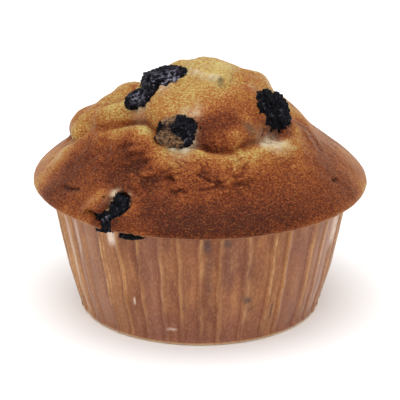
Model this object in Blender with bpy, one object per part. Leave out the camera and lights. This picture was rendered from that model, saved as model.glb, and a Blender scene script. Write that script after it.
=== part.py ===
"""A berry muffin in its pleated paper case, standing on the case's flat bottom.

Metres, +Z up. The origin is the middle of the case's bottom. -Y is the front, where most berries show.
The cake is one solid: a tapered body inside the case, a rounded lip over the case's edge, and a crown
that rose in folded masses. The case is one thin pleated cup. Each berry is a solid of its own.
"""
import math

import bmesh
import bpy
import numpy as np
from mathutils import Vector, noise

MM = 0.001
GAP = 0.3 * MM                    # clear space between pieces that touch

# ---- driving dimensions -------------------------------------------------------------------------
CASE_BASE_RADIUS = 30.2 * MM      # the case's wall just above its bottom corner
CASE_TOP_RADIUS = 37.1 * MM
CASE_HEIGHT = 31.0 * MM
CASE_CORNER = 2.0 * MM            # how far the bottom corner is rounded
CASE_BELLY = 0.5 * MM             # how far the filled wall bulges past a straight line
BELLY_HEIGHT = 10.0 * MM
PAPER = 0.4 * MM                  # pleated, greased paper, two layers thick at its folds
PLEAT_DEPTH = 0.9 * MM            # from a pleat's valley to its ridge

LIP_HEIGHT = 33.0 * MM            # of the crown's widest ring
CROWN_CELLS = 24                  # cells along each side of the crown's square patch
RIM_CROWDING = 1.3                # how much closer the rows of cells lie towards the lip

# The crown's turned profile: radius and height from its middle out to the lip, in millimetres.
CROWN_PROFILE = ((0, 58.4), (6, 57.8), (12, 56.0), (18, 52.7), (23, 48.9), (27, 45.2), (30, 42.4),
                 (33, 40.0), (36, 37.8), (38.5, 35.9), (40.0, 34.6), (40.8, 33.7), (41, 33.0))

# The lip hangs lower towards +X: by how much at its far end, and the height on the crown where that begins.
LIP_SAG = 0.9 * MM
SAG_START = 42.0 * MM

# Below its widest ring the lip turns in under itself to the case's edge: radius and height, millimetres.
LIP_UNDERSIDE = ((40.8, 32.4), (39.8, 31.7))

# Risen masses: raise above the profile, width of the rounded edge, and the outline in plan, millimetres.
MASSES = {
    "middle": (3.0, 6.0, (
        (15.4, -15.4), (13.2, -18.6), (9.4, -21.4), (5.2, -23.3), (0.0, -22.4), (-4.0, -22.1), (-8.6, -20.4),
        (-10.8, -17.0), (-13.9, -13.9), (-17.0, -12.0), (-20.2, -9.9), (-23.2, -7.6), (-22.8, -4.8),
        (-17.5, -2.4), (-14.0, 3.0), (-8.0, 9.0), (0.0, 12.0), (9.0, 11.0), (16.0, 6.0), (17.8, -1.0),
        (17.6, -10.0))),
    "summit": (0.9, 3.0, (
        (8.0, 2.5), (7.6, -3.5), (5.6, -8.4), (1.0, -6.6), (-2.5, -4.6), (-3.0, 0.0), (-1.0, 5.5), (3.6, 7.0))),
    "right shoulder": (0.5, 1.6, (
        (9.0, 4.5), (15.0, 4.5), (17.6, 1.0), (17.4, -6.0), (13.5, -9.0), (8.5, -4.0))),
    "back left": (3.6, 4.5, (
        (-14.0, 1.6), (-20.0, -2.8), (-25.0, -3.4), (-29.5, -2.6), (-31.0, 0.6), (-31.4, 3.5), (-30.4, 7.5),
        (-25.0, 8.5), (-15.0, 8.0))),
    "back right": (1.3, 5.0, (
        (19.0, 4.0), (21.0, -3.0), (25.0, -3.0), (28.0, 2.0), (27.0, 9.0), (21.0, 14.0), (13.0, 15.0),
        (14.0, 10.0))),
    "back": (1.4, 6.0, (
        (-33.0, 6.0), (-31.0, 14.0), (-22.0, 23.0), (-8.0, 28.0), (8.0, 27.0), (20.0, 20.0), (16.0, 13.0),
        (3.0, 16.0), (-10.0, 14.0), (-22.0, 6.0))),
}

# Rolled edges: a line in plan that the crust swells up beside, on its left-hand side as the points run: the
# swell, its width, how far it takes to fade, and the line, millimetres.
ROLLS = {
    "skirt": (1.3, 2.4, 12.0, (
        (22.5, -5.5), (22.0, -10.4), (18.4, -15.8), (13.8, -19.4), (9.6, -22.2), (5.2, -23.9), (0.0, -23.1),
        (-4.0, -22.8), (-8.6, -21.7), (-10.9, -18.5), (-13.8, -14.9), (-17.2, -12.7), (-20.6, -10.6),
        (-23.8, -8.0))),
    "left ridge": (1.8, 3.0, 12.0, (
        (-14.8, -7.0), (-18.2, -5.6), (-21.4, -4.4), (-24.5, -4.4), (-27.5, -3.6), (-30.4, -1.8),
        (-34.5, 1.5))),
    "flap": (1.6, 2.0, 5.5, (         # a torn flap of crust that hangs over the lower left berry
        (-28.6, -27.8), (-26.4, -29.5), (-24.5, -30.0), (-22.9, -31.2), (-21.4, -30.8), (-20.2, -29.9),
        (-19.8, -28.0), (-21.2, -25.8))),
}

# Hollows pressed into the crust: place in plan, radius and depth, millimetres. A negative depth is a bump.
HOLLOWS = (
    (-4.7, -21.4, 4.5, 1.0),      # round the middle berry
    (17.5, -15.0, 4.6, 1.3),      # below the right-hand berry
    (11.0, -13.8, 7.0, 1.0),      # the middle mass's steeper right face
    (-21.5, -31.0, 7.5, -1.1),    # a bulge over the lower left berry
    (5.2, -8.6, 2.5, 0.8),        # a dent beside the summit
    (10.4, 0.5, 3.0, 0.6),        # the step between the summit and the right shoulder
    (-7.5, 1.0, 6.5, 0.9),        # behind the large top berry
    (-19.5, 5.0, 6.0, 0.9),       # behind the small one
    (-26.5, 4.5, 4.5, -1.2),      # the back left mass's round top
    (-33.0, 3.0, 3.5, 0.8),       # and the steep drop beyond it
    (21.5, -1.0, 4.0, 0.6),       # beyond the right shoulder
)


def unit(vectors):
    return vectors / np.linalg.norm(vectors, axis=-1, keepdims=True)


def rounded_path(points, closed, steps=6):
    """A smooth (Catmull-Rom) line through the points."""
    corners = np.array(points, float) * MM
    count = len(corners)
    line = []
    for i in range(count if closed else count - 1):
        before, start, end, after = (
            corners[j % count] if closed else corners[min(max(j, 0), count - 1)] for j in range(i - 1, i + 3))
        for t in np.linspace(0, 1, steps, endpoint=False):
            line.append(start + 0.5 * t * (end - before)
                        + t * t * (before - 2.5 * start + 2 * end - 0.5 * after)
                        + 0.5 * t ** 3 * (3 * start - before - 3 * end + after))
    if not closed:
        line.append(corners[-1])
    return np.array(line)


def nearest(plan, line, closed):
    """For each place in plan: distance from the line, how far along it (0 to 1), and side (+1 is left)."""
    starts = line if closed else line[:-1]
    ends = np.roll(line, -1, axis=0) if closed else line[1:]
    distance = np.full(len(plan), np.inf)
    along = np.zeros(len(plan))
    side = np.ones(len(plan))
    for i, (start, end) in enumerate(zip(starts, ends)):
        step = end - start
        t = np.clip((plan - start) @ step / (step @ step), 0, 1)
        offset = plan - start - t[:, None] * step
        reach = np.linalg.norm(offset, axis=1)
        closer = reach < distance
        distance[closer] = reach[closer]
        along[closer] = (i + t[closer]) / len(starts)
        side[closer] = np.sign(step[0] * offset[closer, 1] - step[1] * offset[closer, 0])
    return distance, along, side


def inside(plan, line):
    """Which places lie within the closed line."""
    x, y = plan[:, 0], plan[:, 1]
    within = np.zeros(len(plan), bool)
    for start, end in zip(line, np.roll(line, -1, axis=0)):
        if start[1] == end[1]:
            continue
        crosses = (start[1] > y) != (end[1] > y)
        within ^= crosses & (x < start[0] + (end[0] - start[0]) * (y - start[1]) / (end[1] - start[1]))
    return within


def pillow(distance, width):
    """0 at an edge, rising steeply and then levelling off at 1 at the given width."""
    return 1 - (1 - np.clip(distance / width, 0, 1)) ** 2.5


def fade(distance, length):
    """1 at 0, easing down to 0 at the given length."""
    return 0.5 + 0.5 * np.cos(np.pi * np.clip(distance / length, 0, 1))


def crown_surface(directions):
    """Points of the crust, along unit directions from the middle of the lip's widest ring."""
    radius, height = np.array(CROWN_PROFILE, float).T * MM
    height = height - LIP_HEIGHT
    slope = np.arcsin(np.clip(directions[:, 2], -1, 1))
    order = np.argsort(np.arctan2(height, radius))
    reach = np.interp(slope, np.arctan2(height, radius)[order], np.hypot(radius, height)[order])
    plan = directions[:, :2] * reach[:, None]
    swell = np.zeros(len(reach))
    for raise_by, width, outline in MASSES.values():
        line = rounded_path(outline, closed=True)
        swell += raise_by * MM * pillow(nearest(plan, line, True)[0], width * MM) * inside(plan, line)
    for raise_by, width, length, points in ROLLS.values():
        distance, along, side = nearest(plan, rounded_path(points, closed=False), False)
        ends = np.clip(6 * np.minimum(along, 1 - along), 0, 1)
        swell += (raise_by * MM * ends * (side > 0)
                  * pillow(distance, width * MM) * fade(distance, length * MM))
    for x, y, size, depth in HOLLOWS:
        away = np.hypot(plan[:, 0] - x * MM, plan[:, 1] - y * MM)
        swell -= depth * MM * fade(away, size * MM)
    return directions * (reach + swell)[:, None] + (0, 0, LIP_HEIGHT)


# ---- the cake -----------------------------------------------------------------------------------
def dome_grid(cells):
    """Unit directions over a half sphere with no pole: a square patch on top, four sides down to level.

    Gives the directions, the faces, and the lowest ring's vertices in order round the rim.
    """
    spread = np.tan(np.radians(np.linspace(-45, 45, cells + 1)))
    x, y = np.meshgrid(spread, spread, indexing="ij")
    directions = [np.stack([x, y, np.ones_like(x)], -1).reshape(-1, 3)]
    index = np.arange((cells + 1) ** 2).reshape(cells + 1, cells + 1)
    faces = [(index[i, j], index[i + 1, j], index[i + 1, j + 1], index[i, j + 1])
             for i in range(cells) for j in range(cells)]
    edge = [*index[:-1, 0], *index[-1, :-1], *index[:0:-1, -1], *index[0, :0:-1]]
    border = directions[0][edge]
    count = len(directions[0])
    rows = cells // 2
    for step in range(1, rows + 1):
        row = border.copy()
        row[:, 2] = math.tan(math.radians(45 * (1 - step / rows) ** RIM_CROWDING))
        directions.append(row)
        below = list(range(count, count + len(row)))
        faces += ring_faces(edge, below)
        edge = below
        count += len(row)
    return unit(np.concatenate(directions)), faces, edge


def ring_faces(upper, lower):
    """Quads between two rings of vertices that run anticlockwise seen from above, facing outwards."""
    return [(upper[i], lower[i], lower[(i + 1) % len(lower)], upper[(i + 1) % len(upper)])
            for i in range(len(upper))]


def make_object(name, points, faces, material):
    mesh = bpy.data.meshes.new(name)
    places = [tuple(map(float, point)) for point in points]
    mesh.from_pydata(places, [], [tuple(map(int, face)) for face in faces])
    mesh.materials.append(material)
    mesh.shade_smooth()
    piece = bpy.data.objects.new(name, mesh)
    bpy.context.scene.collection.objects.link(piece)
    return piece


def lip_sag(points):
    """How much lower each point would hang if it lay on the lip's widest ring."""
    widest = CROWN_PROFILE[-1][0] * MM
    return LIP_SAG * np.clip(points[:, 0] / widest, 0, 1) ** 2


def cake(material):
    """The whole cake: crown, turned-in lip and the tapered body that fills the case."""
    directions, faces, rim = dome_grid(CROWN_CELLS)
    crown = crown_surface(directions)
    sag = lip_sag(crown)
    crown[:, 2] -= sag * np.clip((SAG_START - crown[:, 2]) / (SAG_START - LIP_HEIGHT), 0, 1)
    points = list(crown)
    round_rim = [(math.atan2(crown[i][1], crown[i][0]), sag[i]) for i in rim]
    inset = PLEAT_DEPTH + PAPER + GAP
    # Each ring's radius and height, and 1 where it hangs with the lip.
    rings = [(radius * MM, height * MM, 1) for radius, height in LIP_UNDERSIDE]
    rings += [
        (CASE_TOP_RADIUS + GAP, CASE_HEIGHT + GAP, 0),
        (CASE_TOP_RADIUS - inset, CASE_HEIGHT + GAP, 0),
        (CASE_BASE_RADIUS - inset, CASE_CORNER, 0),
        (CASE_BASE_RADIUS - inset - CASE_CORNER, PAPER + GAP, 0),
    ]
    for radius, height, hangs in rings:
        ring = range(len(points), len(points) + len(rim))
        points += [(radius * math.cos(a), radius * math.sin(a), height - hangs * lower)
                   for a, lower in round_rim]
        faces += ring_faces(rim, ring)
        rim = ring
    faces.append(tuple(reversed(rim)))
    return make_object("cake", points, faces, material)


# ---- the paper case -----------------------------------------------------------------------------
# Widths of the front's pleats from left to right, in degrees round the case, from its first ridge.
FRONT_PLEATS = (6.9, 9.6, 7.5, 12.8, 8.2, 9.1, 8.9, 7.5, 8.5, 7.7, 11.4, 11.2, 6.4, 14.6, 8.3, 10.5, 8.3)
FIRST_RIDGE = -168.7              # the direction of that ridge
BACK_PLEATS = 22                  # the rest of the way round
CORNER_STEPS = 3
# Across one pleat, from its ridge to the next: how far along, and how far in towards the valley.
PLEAT_SHAPE = ((0.0, 0.0), (0.3, 1.0), (0.72, 0.75))


def pleat_ridges():
    """Directions of all the pleats' ridges, in degrees."""
    uneven = [1 + 0.22 * math.sin(2.4 * i) for i in range(BACK_PLEATS)]
    left_over = 360 - sum(FRONT_PLEATS)
    widths = list(FRONT_PLEATS) + [left_over * share / sum(uneven) for share in uneven]
    return [FIRST_RIDGE + sum(widths[:i]) for i in range(len(widths) + 1)]


def pleated_ring(radius, height, depth):
    """A ring of points, out at each ridge and in at each valley by the depth."""
    ridges = pleat_ridges()
    ring = []
    for ridge, after in zip(ridges, ridges[1:]):
        for part, inward in PLEAT_SHAPE:
            angle = math.radians(ridge + part * (after - ridge))
            reach = radius - inward * depth
            ring.append((reach * math.cos(angle), reach * math.sin(angle), height))
    return ring


def case_profile(inset, corner_steps):
    """Radius, height and pleat depth of the case's wall from its flat bottom up, moved in by the inset."""
    corner = CASE_CORNER - inset
    middle = CASE_BASE_RADIUS - CASE_CORNER
    rows = []
    for step in range(corner_steps + 1):
        turn = 0.5 * math.pi * step / corner_steps
        rows.append((middle + corner * math.sin(turn), CASE_CORNER - corner * math.cos(turn),
                     PLEAT_DEPTH * step / corner_steps))
    up = (BELLY_HEIGHT - CASE_CORNER) / (CASE_HEIGHT - CASE_CORNER)
    belly = CASE_BASE_RADIUS + up * (CASE_TOP_RADIUS - CASE_BASE_RADIUS) + CASE_BELLY
    rows.append((belly - inset, BELLY_HEIGHT, PLEAT_DEPTH))
    rows.append((CASE_TOP_RADIUS - inset, CASE_HEIGHT, PLEAT_DEPTH))
    return rows


def paper_case(material):
    """A thin cup pressed into pleats: one skin outside, one inside, joined at the top edge."""
    points, faces = [], []
    last = None
    rows = case_profile(0.0, CORNER_STEPS) + case_profile(PAPER, 1)[::-1]
    around = len(PLEAT_SHAPE) * (len(FRONT_PLEATS) + BACK_PLEATS)
    for radius, height, depth in rows:
        ring = list(range(len(points), len(points) + around))
        points += pleated_ring(radius, height, depth)
        faces += ring_faces(ring, last) if last else [tuple(reversed(ring))]
        last = ring
    faces.append(tuple(last))
    return make_object("paper_case", points, faces, material)


# ---- the berries --------------------------------------------------------------------------------
# Name: centre and half sizes in millimetres, turns about X, Y and Z in degrees, and a number that varies
# the wrinkles. The last is pinched out under the lip's edge.
BERRIES = {
    "berry_top_large": ((-7.6, -4.5, 58.7), (7.1, 4.2, 3.9), (0, -12, 14), 3),
    "berry_top_small": ((-14.1, -11.3, 57.2), (4.2, 2.1, 2.2), (0, -20, 15), 5),
    "berry_middle": ((-4.7, -19.9, 51.5), (5.8, 3.7, 4.3), (30, 0, 5), 7),
    "berry_right": ((16.9, -9.3, 52.7), (4.8, 4.2, 5.6), (0, -29, 0), 11),
    "berry_lower_left": ((-20.5, -29.6, 35.1), (4.6, 5.2, 3.0), (37, 0, -35), 13),
    "berry_rim": ((-15.8, -35.7, 31.5), (3.7, 1.6, 1.2), (0, -8, -25), 17),
}
FINE_BERRY = 4.25                 # a berry with a larger half size than this gets the finer ball


def berry_points(half_sizes, seed, grow):
    """A wrinkled ball: the points of a unit sphere pushed in and out, then sized, and grown all round."""
    ball = bmesh.new()
    bmesh.ops.create_icosphere(ball, subdivisions=3 if max(half_sizes) > FINE_BERRY else 2, radius=1.0)
    shift = Vector((seed, 2.0 * seed, -seed))
    points = []
    for vertex in ball.verts:
        wrinkle = 1 + 0.13 * noise.noise(vertex.co * 1.7 + shift)
        wrinkle += 0.05 * noise.noise(vertex.co * 4.0 + shift)
        points.append(Vector([vertex.co[k] * (half_sizes[k] * MM * wrinkle + grow) for k in range(3)]))
    faces = [tuple(vertex.index for vertex in face.verts) for face in ball.faces]
    ball.free()
    return points, faces


def berry(name, place, half_sizes, turns, seed, material, grow=0.0):
    points, faces = berry_points(half_sizes, seed, grow)
    piece = make_object(name, points, faces, material)
    piece.location = place
    piece.rotation_euler = [math.radians(turn) for turn in turns]
    return piece


def cut_pocket(body, cutter):
    """The hollow that a berry sits in."""
    cutter.hide_render = True
    cutter.display_type = "WIRE"
    cut = body.modifiers.new(cutter.name, "BOOLEAN")
    cut.operation = "DIFFERENCE"
    cut.solver = "EXACT"
    cut.object = cutter


# ---- materials ----------------------------------------------------------------------------------
def finish(name, colour, roughness):
    """A plain, unpolished material of one colour."""
    material = bpy.data.materials.new(name)
    material.use_nodes = True
    shader = material.node_tree.nodes["Principled BSDF"]
    shader.inputs["Base Color"].default_value = (*colour, 1)
    shader.inputs["Roughness"].default_value = roughness
    shader.inputs["Metallic"].default_value = 0.0
    return material


def build():
    for old in list(bpy.data.objects):
        bpy.data.objects.remove(old, do_unlink=True)
    crust = finish("crust", (0.42, 0.19, 0.075), 0.6)
    paper = finish("greased paper", (0.44, 0.22, 0.12), 0.45)
    skin = finish("berry skin", (0.012, 0.012, 0.02), 0.5)
    body = cake(crust)
    paper_case(paper)
    for name, (centre, half_sizes, turns, seed) in BERRIES.items():
        place = Vector(centre) * MM
        berry(name, place, half_sizes, turns, seed, skin)
        cut_pocket(body, berry(name + "_pocket", place, half_sizes, turns, seed, crust, GAP))


build()
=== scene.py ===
"""A berry muffin in its pleated paper case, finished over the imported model.

Metres, +Z up, -Y to the front. The pieces follow in the order in which they come together: the case, the cake
baked in it and the berries held in the crust.
"""
import math

import bmesh
import bpy
import numpy as np
from mathutils import Euler, Matrix, Vector, noise


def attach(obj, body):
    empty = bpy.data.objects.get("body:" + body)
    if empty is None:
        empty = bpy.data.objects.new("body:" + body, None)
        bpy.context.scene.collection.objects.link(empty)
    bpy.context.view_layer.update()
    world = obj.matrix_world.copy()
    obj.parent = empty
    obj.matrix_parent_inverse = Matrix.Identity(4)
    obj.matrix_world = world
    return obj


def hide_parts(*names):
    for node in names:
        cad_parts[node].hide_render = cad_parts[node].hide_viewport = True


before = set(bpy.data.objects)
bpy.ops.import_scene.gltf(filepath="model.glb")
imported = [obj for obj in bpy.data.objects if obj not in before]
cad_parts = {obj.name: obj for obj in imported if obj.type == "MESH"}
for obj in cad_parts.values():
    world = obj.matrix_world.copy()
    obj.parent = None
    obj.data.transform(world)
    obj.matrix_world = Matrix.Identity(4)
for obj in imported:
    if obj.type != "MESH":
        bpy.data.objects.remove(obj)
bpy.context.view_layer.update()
MM = 0.001

# ---- the table, the light and the camera --------------------------------------------------------
# The muffin stands on a plain white table. A broad softbox hangs over it, a little to the front, and the pale
# room round about fills the shadows. The camera stands back and looks down on it.
TABLE_HALF = 6.0
CAMERA_RISE = 21.0                # degrees above the table
CAMERA_AWAY = 0.8
FRAME_WIDTH = 36.0                # millimetres, as is the focal length
FOCAL_LENGTH = 291.6
AIM = Vector((0, 0, 0.0266))

table_mesh = bpy.data.meshes.new("table")
table_mesh.from_pydata([(x * TABLE_HALF, y * TABLE_HALF, 0) for x, y in ((-1, -1), (1, -1), (1, 1), (-1, 1))],
                       [], [(0, 1, 2, 3)])
table = bpy.data.objects.new("table", table_mesh)
bpy.context.scene.collection.objects.link(table)
white = bpy.data.materials.new("white table")
white.use_nodes = True
white.node_tree.nodes["Principled BSDF"].inputs["Base Color"].default_value = (0.95, 0.95, 0.95, 1)
white.node_tree.nodes["Principled BSDF"].inputs["Roughness"].default_value = 0.9
white.node_tree.nodes["Principled BSDF"].inputs["Specular IOR Level"].default_value = 0.1
table_mesh.materials.append(white)


def softbox(name, place, size, power):
    light = bpy.data.lights.new(name, "AREA")
    light.size = size
    light.energy = power
    lamp = bpy.data.objects.new(name, light)
    lamp.location = place
    lamp.rotation_mode = "QUATERNION"
    lamp.rotation_quaternion = (AIM - Vector(place)).to_track_quat("-Z", "Y")
    bpy.context.scene.collection.objects.link(lamp)


softbox("overhead", (-0.05, -0.15, 1.0), 1.2, 9.0)
softbox("front", (0.1, -1.0, 0.45), 0.8, 2.0)

room = bpy.data.worlds.new("pale room")
room.use_nodes = True
room.node_tree.nodes["Background"].inputs["Color"].default_value = (1.0, 1.0, 1.0, 1)
room.node_tree.nodes["Background"].inputs["Strength"].default_value = 0.85
bpy.context.scene.world = room

lens = bpy.data.cameras.new("camera")
lens.sensor_width = FRAME_WIDTH
lens.lens = FOCAL_LENGTH
lens.clip_start = 0.01
camera = bpy.data.objects.new("camera", lens)
rise = math.radians(CAMERA_RISE)
towards_camera = Vector((0, -math.cos(rise), math.sin(rise)))
camera.location = AIM + towards_camera * CAMERA_AWAY
camera.rotation_mode = "QUATERNION"
camera.rotation_quaternion = (-towards_camera).to_track_quat("-Z", "Y")
bpy.context.scene.collection.objects.link(camera)
bpy.context.scene.camera = camera
bpy.context.scene.view_settings.view_transform = "Standard"

# ---- the paper case -----------------------------------------------------------------------------
# One disc of thin greaseproof paper, pressed hot into about forty uneven pleats round a flat bottom. Baking has
# soaked it with fat, so it has gone brown and half clear, a little paler along the pleats' ridges. Highlights
# are painted on and beside the ridges, and shade is painted into the valleys.
CASE_BASE_RADIUS = 30.2 * MM
CASE_TOP_RADIUS = 37.1 * MM
CASE_HEIGHT = 31.0 * MM
CASE_CORNER = 2.0 * MM
CASE_BELLY = 0.5 * MM
BELLY_HEIGHT = 10.0 * MM
PAPER = 0.15 * MM
PLEAT_DEPTH = 0.9 * MM
# Widths of the front's pleats from left to right, in degrees; those at the back are more even.
FRONT_PLEATS = (6.9, 9.6, 7.5, 12.8, 8.2, 9.1, 8.9, 7.5, 8.5, 7.7, 11.4, 11.2, 6.4, 14.6, 8.3, 10.5, 8.3)
FIRST_RIDGE = -168.7
BACK_PLEATS = 22
# Across one pleat, from ridge to ridge: how far along, and how far in towards the valley.
PLEAT_SHAPE = ((0.0, 0.0), (0.05, 0.5), (0.11, 1.0), (0.2, 0.95), (0.5, 0.8), (0.8, 0.9), (0.89, 0.95),
               (0.95, 0.5), (1.0, 0.0))
DRIFTS_PER_METRE = 110.0          # how often a ridge sways on its way up
DENTS_PER_METRE = 90.0            # and how often the wall goes in and out
DENTS_PER_RADIUS = 6.0            # the same, round the case
# Marks on the wall: direction in degrees, height, half width and half height, and strength. Fat and juice
# have stained some places, and the fat has not reached others, which are still whitish.
STAINS = ((-87.4, 28.6, 0.9, 1.9, 0.85), (-79.4, 29.0, 1.3, 1.3, 0.7), (-86.2, 21.0, 1.1, 8.0, 0.3),
          (-78.4, 22.5, 1.4, 6.0, 0.3), (-69.3, 12.4, 1.2, 0.9, 0.85), (-71.6, 13.3, 1.5, 0.8, 0.4),
          (-67.5, 9.8, 1.0, 1.2, 0.45), (-56.6, 8.0, 0.28, 2.6, 1.0), (-97.0, 11.0, 0.5, 0.8, 0.4))
DRY_PLACES = ((-126.3, 29.0, 1.3, 2.8, 1.0), (-20.0, 24.5, 1.6, 5.0, 0.75), (-29.0, 17.0, 0.8, 12.0, 0.45),
              (-148.0, 25.0, 0.8, 6.0, 0.35), (-157.0, 20.0, 0.8, 9.0, 0.3), (-119.5, 11.3, 0.25, 0.9, 0.9),
              (-103.0, 4.6, 1.4, 0.25, 0.6))


def new_tree_node(tree, kind, **settings):
    """Adds a node and sets what is named: its properties, or its inputs by their name with _ for a space."""
    node = tree.nodes.new(kind)
    for name, value in settings.items():
        if hasattr(node, name):
            setattr(node, name, value)
        else:
            node.inputs[name.replace("_", " ")].default_value = value
    return node


def arithmetic(tree, operation, first, second=None, third=None):
    """A Math node on links or plain numbers; gives its result's socket."""
    node = tree.nodes.new("ShaderNodeMath")
    node.operation = operation
    for place, value in enumerate((first, second, third)):
        if isinstance(value, bpy.types.NodeSocket):
            tree.links.new(value, node.inputs[place])
        elif value is not None:
            node.inputs[place].default_value = value
    return node.outputs[0]


def fill_curve(node, points):
    """Lays the points on a Float Curve node, joined by straight lines."""
    curve = node.mapping.curves[0]
    while len(curve.points) < len(points):
        curve.points.new(0.5, 0.5)
    for mark, (x, y) in zip(curve.points, points):
        mark.location = (x, y)
        mark.handle_type = "VECTOR"
    node.mapping.update()


def case_profile():
    """Radius and height from the middle of the bottom out, round the corner and up the wall."""
    middle = CASE_BASE_RADIUS - CASE_CORNER
    rows = [(0.0, 0.0), (0.5 * middle, 0.0)]
    for step in range(5):
        turn = 0.5 * math.pi * step / 4
        rows.append((middle + CASE_CORNER * math.sin(turn), CASE_CORNER * (1 - math.cos(turn))))
    up = (BELLY_HEIGHT - CASE_CORNER) / (CASE_HEIGHT - CASE_CORNER)
    rows.append((CASE_BASE_RADIUS + up * (CASE_TOP_RADIUS - CASE_BASE_RADIUS) + CASE_BELLY, BELLY_HEIGHT))
    rows.append((CASE_TOP_RADIUS, CASE_HEIGHT))
    return rows


def pleated_case_tree():
    """Lays a sheet round the ridge marks, folds it between each pair, and bends it to the case's profile."""
    tree = bpy.data.node_groups.new("pleated case", "GeometryNodeTree")
    face = tree.interface
    face.new_socket("Ridge marks", in_out="INPUT", socket_type="NodeSocketGeometry")
    for name, kind in (("Top radius", "NodeSocketFloat"), ("Height", "NodeSocketFloat"),
                       ("Corner", "NodeSocketFloat"), ("Pleat depth", "NodeSocketFloat"),
                       ("Ridge waver", "NodeSocketFloat"), ("Wall dents", "NodeSocketFloat"),
                       ("Steps across", "NodeSocketInt"), ("Rows", "NodeSocketInt"), ("Seed", "NodeSocketInt"),
                       ("Paper", "NodeSocketMaterial")):
        face.new_socket(name, in_out="INPUT", socket_type=kind)
    face.new_socket("Case", in_out="OUTPUT", socket_type="NodeSocketGeometry")
    given = tree.nodes.new("NodeGroupInput").outputs
    link = tree.links.new

    size = new_tree_node(tree, "GeometryNodeAttributeDomainSize", component="MESH")
    link(given["Ridge marks"], size.inputs["Geometry"])
    pleats = arithmetic(tree, "SUBTRACT", size.outputs["Point Count"], 1)
    sheet = new_tree_node(tree, "GeometryNodeMeshGrid", Size_X=1.0, Size_Y=1.0)
    link(arithmetic(tree, "MULTIPLY_ADD", pleats, given["Steps across"], 1), sheet.inputs["Vertices X"])
    link(given["Rows"], sheet.inputs["Vertices Y"])
    spot = new_tree_node(tree, "ShaderNodeSeparateXYZ")
    link(new_tree_node(tree, "GeometryNodeInputPosition").outputs[0], spot.inputs[0])
    round_about = arithmetic(tree, "MULTIPLY", arithmetic(tree, "ADD", spot.outputs["X"], 0.5), pleats)
    up = arithmetic(tree, "ADD", spot.outputs["Y"], 0.5)
    pleat = arithmetic(tree, "MINIMUM", arithmetic(tree, "FLOOR", round_about),
                       arithmetic(tree, "SUBTRACT", pleats, 1))
    across = arithmetic(tree, "SUBTRACT", round_about, pleat)

    # the profile, read off two curves and brought to size
    def profile(points, size_socket):
        curve = new_tree_node(tree, "ShaderNodeFloatCurve")
        fill_curve(curve, points)
        link(up, curve.inputs["Value"])
        return arithmetic(tree, "MULTIPLY", curve.outputs[0], size_socket)

    rows = case_profile()
    run = np.concatenate([[0], np.cumsum([math.dist(a, b) for a, b in zip(rows, rows[1:])])])
    crowd = np.interp(run / run[-1], (0, run[2] / run[-1], run[6] / run[-1], 1), (0, 0.08, 0.22, 1))
    radius = profile([(at, r / CASE_TOP_RADIUS) for at, (r, _) in zip(crowd, rows)], given["Top radius"])
    height = profile([(at, z / CASE_HEIGHT) for at, (_, z) in zip(crowd, rows)], given["Height"])

    # each ridge's direction, wandering a little as it climbs, and how sharply it was pressed
    def ridge(number):
        mark = new_tree_node(tree, "GeometryNodeSampleIndex", data_type="FLOAT", domain="POINT")
        place = new_tree_node(tree, "ShaderNodeSeparateXYZ")
        link(new_tree_node(tree, "GeometryNodeInputPosition").outputs[0], place.inputs[0])
        link(given["Ridge marks"], mark.inputs["Geometry"])
        link(place.outputs["X"], mark.inputs["Value"])
        link(number, mark.inputs["Index"])
        same = arithmetic(tree, "MODULO", number, pleats)
        where = new_tree_node(tree, "ShaderNodeCombineXYZ")
        link(arithmetic(tree, "MULTIPLY", same, 7.3), where.inputs["X"])
        link(arithmetic(tree, "MULTIPLY", height, DRIFTS_PER_METRE), where.inputs["Y"])
        link(given["Seed"], where.inputs["Z"])
        drift = new_tree_node(tree, "ShaderNodeTexNoise", Scale=1.0, Detail=1.0)
        link(where.outputs[0], drift.inputs["Vector"])
        press = new_tree_node(tree, "ShaderNodeTexWhiteNoise", noise_dimensions="1D")
        link(same, press.inputs["W"])
        sideways = arithmetic(tree, "DIVIDE", arithmetic(
            tree, "MULTIPLY", arithmetic(tree, "SUBTRACT", drift.outputs[0], 0.5), given["Ridge waver"]),
            given["Top radius"])
        return arithmetic(tree, "ADD", mark.outputs[0], sideways), press.outputs["Value"]

    def between(first, second):
        return arithmetic(tree, "MULTIPLY_ADD", arithmetic(tree, "SUBTRACT", second, first), across, first)

    here, here_press = ridge(pleat)
    there, there_press = ridge(arithmetic(tree, "ADD", pleat, 1))
    angle = between(here, there)
    soft = arithmetic(tree, "MULTIPLY", between(here_press, there_press), 0.45)
    fold = new_tree_node(tree, "ShaderNodeFloatCurve")
    fill_curve(fold, PLEAT_SHAPE)
    link(across, fold.inputs["Value"])
    inward = arithmetic(tree, "MULTIPLY_ADD", arithmetic(tree, "SUBTRACT", 1.0, fold.outputs[0]), soft,
                        fold.outputs[0])
    grown = new_tree_node(tree, "ShaderNodeMapRange")
    link(height, grown.inputs["Value"])
    link(given["Corner"], grown.inputs["From Max"])
    depth = arithmetic(tree, "MULTIPLY", arithmetic(tree, "MULTIPLY", inward, given["Pleat depth"]),
                       grown.outputs[0])

    # dents where the case was handled, the same on both sides of the seam
    ring = new_tree_node(tree, "ShaderNodeCombineXYZ")
    for turn, socket in (("COSINE", "X"), ("SINE", "Y")):
        link(arithmetic(tree, "MULTIPLY", arithmetic(tree, turn, angle), DENTS_PER_RADIUS), ring.inputs[socket])
    link(arithmetic(tree, "MULTIPLY", height, DENTS_PER_METRE), ring.inputs["Z"])
    dent = new_tree_node(tree, "ShaderNodeTexNoise", Scale=1.0, Detail=2.0)
    link(ring.outputs[0], dent.inputs["Vector"])
    dented = arithmetic(tree, "MULTIPLY", arithmetic(tree, "SUBTRACT", dent.outputs[0], 0.65), arithmetic(
        tree, "MULTIPLY", given["Wall dents"], grown.outputs[0]))
    reach = arithmetic(tree, "ADD", arithmetic(tree, "SUBTRACT", radius, depth), dented)

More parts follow.
